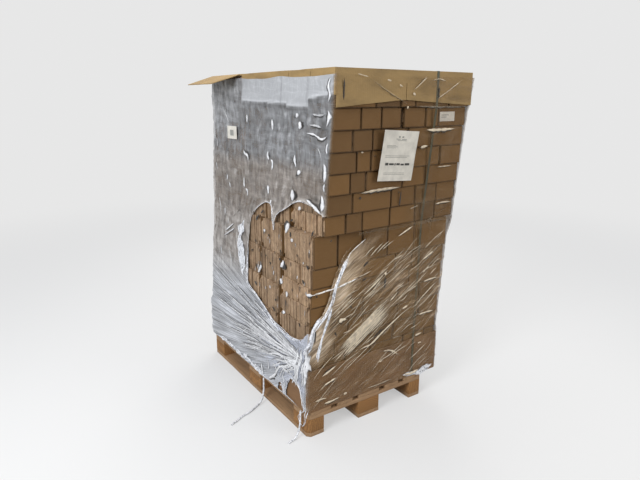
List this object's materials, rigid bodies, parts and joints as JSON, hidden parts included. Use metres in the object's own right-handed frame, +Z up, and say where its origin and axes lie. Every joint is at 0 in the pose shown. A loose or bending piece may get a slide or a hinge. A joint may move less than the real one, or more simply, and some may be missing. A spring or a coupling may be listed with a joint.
{
  "type": "shrink wrapped pallet load",
  "caption": "Leaning stack of flat-packed cartons on a four-way wooden pallet, with board tray and lid, strap, document pouch and torn stretch film.",
  "frame": {"origin": "on the floor under the centre of the pallet", "axes": "+X along the pallet's 800 mm width, +Y along its 1200 mm length away from the near end, +Z up"},
  "size_m": [1.2714, 1.3388, 1.8378],
  "materials": {
    "pallet_wood": "rough sawn softwood",
    "pallet_block": "pressed chip or sawn block",
    "carton_board": "plain brown flat-packed board",
    "tray_board": "plain brown corrugated board",
    "lid_board": "plain light brown corrugated board",
    "core_board": null,
    "strap_band": "embossed band",
    "film": "clear wrinkled stretch film",
    "paper": "printed sheet in a clear pouch"
  },
  "bodies": {
    "root": {"block_1_1": "pallet_block", "block_1_2": "pallet_block", "block_1_3": "pallet_block", "block_2_1": "pallet_block", "block_2_2": "pallet_block", "block_2_3": "pallet_block", "block_3_1": "pallet_block", "block_3_2": "pallet_block", "block_3_3": "pallet_block", "bundle_label": "paper", "corner_strand": "film", "deck_board_1": "pallet_wood", "deck_board_2": "pallet_wood", "deck_board_3": "pallet_wood", "deck_board_4": "pallet_wood", "deck_board_5": "pallet_wood", "document_pouch": "paper", "end_bundles_row_01": "carton_board", "end_bundles_row_02": "carton_board", "end_bundles_row_03": "carton_board", "end_bundles_row_04": "carton_board", "end_bundles_row_05": "carton_board", "end_bundles_row_06": "carton_board", "end_bundles_row_07": "carton_board", "end_bundles_row_08": "carton_board", "end_bundles_row_09": "carton_board", "end_bundles_row_10": "carton_board", "end_bundles_row_11": "carton_board", "end_bundles_row_12": "carton_board", "end_bundles_row_13": "carton_board", "end_bundles_row_14": "carton_board", "end_bundles_row_15": "carton_board", "lid": "lid_board", "lower_core": "core_board", "runner_1": "pallet_wood", "runner_2": "pallet_wood", "runner_3": "pallet_wood", "side_bundles_course_01": "carton_board", "side_bundles_course_02": "carton_board", "side_bundles_course_03": "carton_board", "side_bundles_course_04": "carton_board", "side_bundles_course_05": "carton_board", "side_bundles_course_06": "carton_board", "side_bundles_course_07": "carton_board", "side_bundles_course_08": "carton_board", "side_bundles_course_09": "carton_board", "side_bundles_course_10": "carton_board", "side_bundles_course_11": "carton_board", "side_label": "paper", "side_strand": "film", "strap": "strap_band", "stretch_film": "film", "stringer_board_1": "pallet_wood", "stringer_board_2": "pallet_wood", "stringer_board_3": "pallet_wood", "tray": "tray_board", "upper_core": "core_board"}
  },
  "joints": []
}
